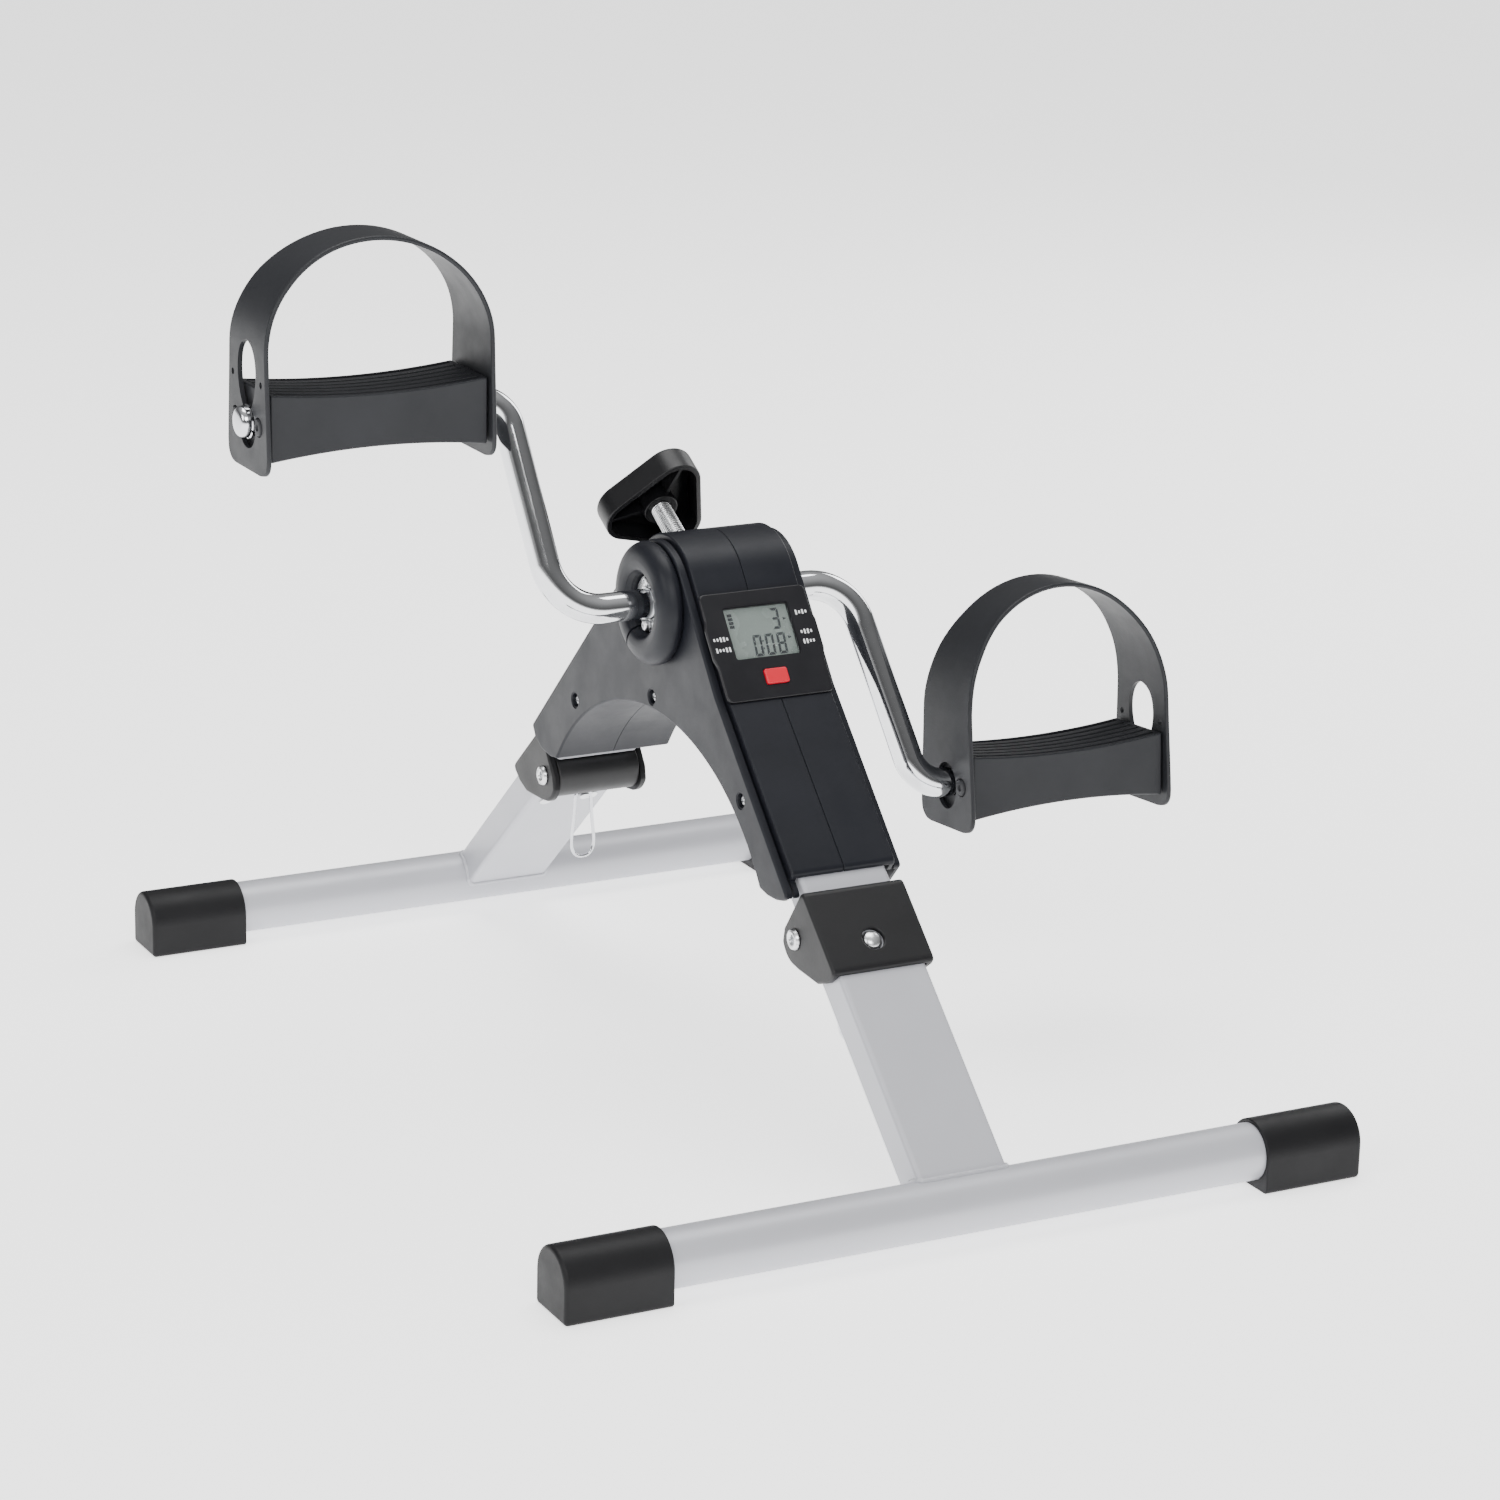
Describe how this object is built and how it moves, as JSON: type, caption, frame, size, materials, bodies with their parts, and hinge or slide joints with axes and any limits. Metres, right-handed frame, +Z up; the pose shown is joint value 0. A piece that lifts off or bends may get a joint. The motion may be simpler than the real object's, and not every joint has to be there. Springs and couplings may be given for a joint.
{
  "type": "pedal exerciser",
  "caption": "Folding floor-standing pedal exerciser with a chrome crank, strapped pedals, a tension knob and a small battery display on a black housing over two folding legs.",
  "frame": {"origin": "on the floor under the middle of the housing and the crank", "axes": "+X along the crank to the user's right, -Y the front with the display, +Z up"},
  "size_m": [0.4382, 0.5066, 0.3935],
  "materials": {
    "silver_paint": "satin silver-grey powder coat",
    "black_paint": "satin black powder coat",
    "housing_plastic": "satin black moulded plastic",
    "hinge_plastic": "satin black moulded plastic",
    "pedal_plastic": "satin charcoal moulded plastic",
    "strap_rubber": "smooth flexible charcoal rubber",
    "cap_rubber": "smooth matt black rubber",
    "crank_chrome": "bright chrome plate",
    "bright_chrome": "bright chrome plate",
    "zinc_steel": "bright zinc plate",
    "knob_plastic": "satin black moulded plastic",
    "brake_lining": "dull moulded friction lining",
    "display_plastic": "smooth black moulded plastic",
    "lens": "clear flat window",
    "lcd": "grey-green liquid crystal panel with dark digits",
    "circuit": "green board lacquer",
    "button_red": "smooth red plastic"
  },
  "bodies": {
    "frame": {"upper_frame": "silver_paint", "front_bracket": "black_paint", "rear_bracket": "black_paint", "front_hinge_rivet": "zinc_steel", "rear_hinge_rivet": "zinc_steel", "left_cover": "housing_plastic", "right_cover": "housing_plastic", "left_boss_ring": "housing_plastic", "right_boss_ring": "housing_plastic", "left_bearing": "zinc_steel", "right_bearing": "zinc_steel", "left_bearing_bolt_upper": "zinc_steel", "left_bearing_bolt_lower": "zinc_steel", "right_bearing_bolt_upper": "zinc_steel", "right_bearing_bolt_lower": "zinc_steel", "cover_screw_front": "zinc_steel", "cover_screw_rear": "zinc_steel", "cover_screw_middle": "zinc_steel", "display_case": "display_plastic", "display_lens": "lens", "lcd_panel": "lcd", "circuit_board": "circuit", "button_cell": "zinc_steel", "tension_nut": "zinc_steel", "brake_pad": "brake_lining", "reed_switch": "circuit"},
    "crank": {"crank_bar": "crank_chrome", "crank_hub": "zinc_steel", "hub_magnet": "zinc_steel", "left_spindle_nut": "bright_chrome", "right_spindle_nut": "bright_chrome"},
    "left_pedal": {"left_pedal_body": "pedal_plastic", "left_pedal_strap": "strap_rubber"},
    "right_pedal": {"right_pedal_body": "pedal_plastic", "right_pedal_strap": "strap_rubber"},
    "tension_knob": {"tension_knob": "knob_plastic", "tension_screw": "zinc_steel"},
    "reset_button": {"reset_button": "button_red"},
    "front_leg": {"front_leg_tube": "silver_paint", "front_base_tube": "silver_paint", "front_left_foot_cap": "cap_rubber", "front_right_foot_cap": "cap_rubber", "front_knuckle": "hinge_plastic", "front_plug_rivet_a": "zinc_steel", "front_plug_rivet_b": "zinc_steel", "front_lock_spring": "zinc_steel"},
    "rear_leg": {"rear_leg_tube": "silver_paint", "rear_base_tube": "silver_paint", "rear_left_foot_cap": "cap_rubber", "rear_right_foot_cap": "cap_rubber", "rear_knuckle": "hinge_plastic", "rear_plug_rivet_a": "zinc_steel", "rear_plug_rivet_b": "zinc_steel", "rear_lock_spring": "zinc_steel"},
    "front_lock_pin": {"front_lock_pin": "zinc_steel"},
    "rear_lock_pin": {"rear_lock_pin": "zinc_steel"},
    "front_pull_loop": {"front_pull_loop": "bright_chrome"},
    "rear_pull_loop": {"rear_pull_loop": "bright_chrome"}
  },
  "joints": [
    {"name": "crank_spin", "type": "hinge", "parent": "frame", "child": "crank", "pos_m": [0, 0, 0.221], "axis": [1, 0, 0], "continuous": true},
    {"name": "left_pedal_spin", "type": "hinge", "parent": "crank", "child": "left_pedal", "pos_m": [-0.1595, 0.03239, 0.31349], "axis": [1, 0, 0], "continuous": true},
    {"name": "right_pedal_spin", "type": "hinge", "parent": "crank", "child": "right_pedal", "pos_m": [0.1595, -0.03239, 0.12851], "axis": [1, 0, 0], "continuous": true},
    {"name": "tension_turn", "type": "hinge", "parent": "frame", "child": "tension_knob", "pos_m": [-0.0027, 0, 0.221], "axis": [0, 0.8755, 0.4833], "range_deg": [-720, 720]},
    {"name": "reset_press", "type": "slide", "parent": "frame", "child": "reset_button", "axis": [0, 0.788, -0.6157], "range_m": [0, 0.0008], "stiffness_N_per_m": 800},
    {"name": "front_leg_fold", "type": "hinge", "parent": "frame", "child": "front_leg", "pos_m": [0, -0.1296, 0.1014], "axis": [1, 0, 0], "range_deg": [0, 100]},
    {"name": "front_lock_pull", "type": "slide", "parent": "front_leg", "child": "front_lock_pin", "axis": [0, 0.6691, -0.7431], "range_m": [0, 0.005], "stiffness_N_per_m": 600, "springref_m": -0.003, "deforming": ["front_lock_spring"]},
    {"name": "front_loop_swing", "type": "hinge", "parent": "front_lock_pin", "child": "front_pull_loop", "pos_m": [0, -0.1374, 0.08765], "axis": [1, 0, 0], "range_deg": [-40, 45]},
    {"name": "rear_leg_fold", "type": "hinge", "parent": "frame", "child": "rear_leg", "pos_m": [0, 0.1296, 0.1014], "axis": [-1, 0, 0], "range_deg": [0, 100]},
    {"name": "rear_lock_pull", "type": "slide", "parent": "rear_leg", "child": "rear_lock_pin", "axis": [0, -0.6691, -0.7431], "range_m": [0, 0.005], "stiffness_N_per_m": 600, "springref_m": -0.003, "deforming": ["rear_lock_spring"]},
    {"name": "rear_loop_swing", "type": "hinge", "parent": "rear_lock_pin", "child": "rear_pull_loop", "pos_m": [0, 0.1374, 0.08765], "axis": [-1, 0, 0], "range_deg": [-40, 45]}
  ]
}
